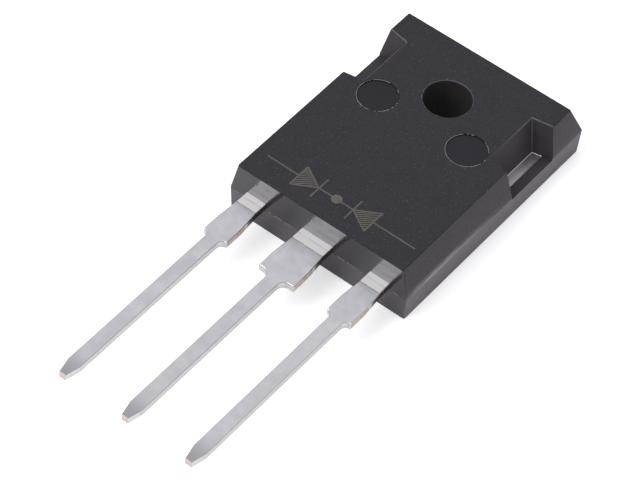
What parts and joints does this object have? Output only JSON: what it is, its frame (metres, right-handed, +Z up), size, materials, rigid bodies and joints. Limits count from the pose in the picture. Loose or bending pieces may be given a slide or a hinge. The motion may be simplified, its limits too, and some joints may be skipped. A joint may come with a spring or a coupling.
{
  "type": "rectifier diode",
  "caption": "Dual rectifier diode in a flat moulded power package with a screw hole, a metal heatsink back and flat pin leads in a row, lying on its back.",
  "frame": {"origin": "where the screw hole's axis meets the heatsink face", "axes": "+Z up out of the heatsink face, +Y from the leads towards the screw hole's end, +X across the leads to the right"},
  "size_m": [0.0156, 0.0412, 0.0049],
  "materials": {
    "moulding_compound": "black glass-filled epoxy, matt top and satin walls",
    "plated_copper": "satin tin plate over copper, bare copper at the cut tips",
    "silicon": "passivated silicon with a metallised face",
    "solder": "soft solder",
    "bond_wire": "drawn aluminium"
  },
  "bodies": {
    "root": {"moulded_body": "moulding_compound", "tab_with_cathode_lead": "plated_copper", "left_anode_lead": "plated_copper", "right_anode_lead": "plated_copper", "left_die": "silicon", "right_die": "silicon", "left_die_solder": "solder", "right_die_solder": "solder", "left_bond_wire_1": "bond_wire", "left_bond_wire_2": "bond_wire", "left_bond_wire_3": "bond_wire", "right_bond_wire_1": "bond_wire", "right_bond_wire_2": "bond_wire", "right_bond_wire_3": "bond_wire"}
  },
  "joints": []
}
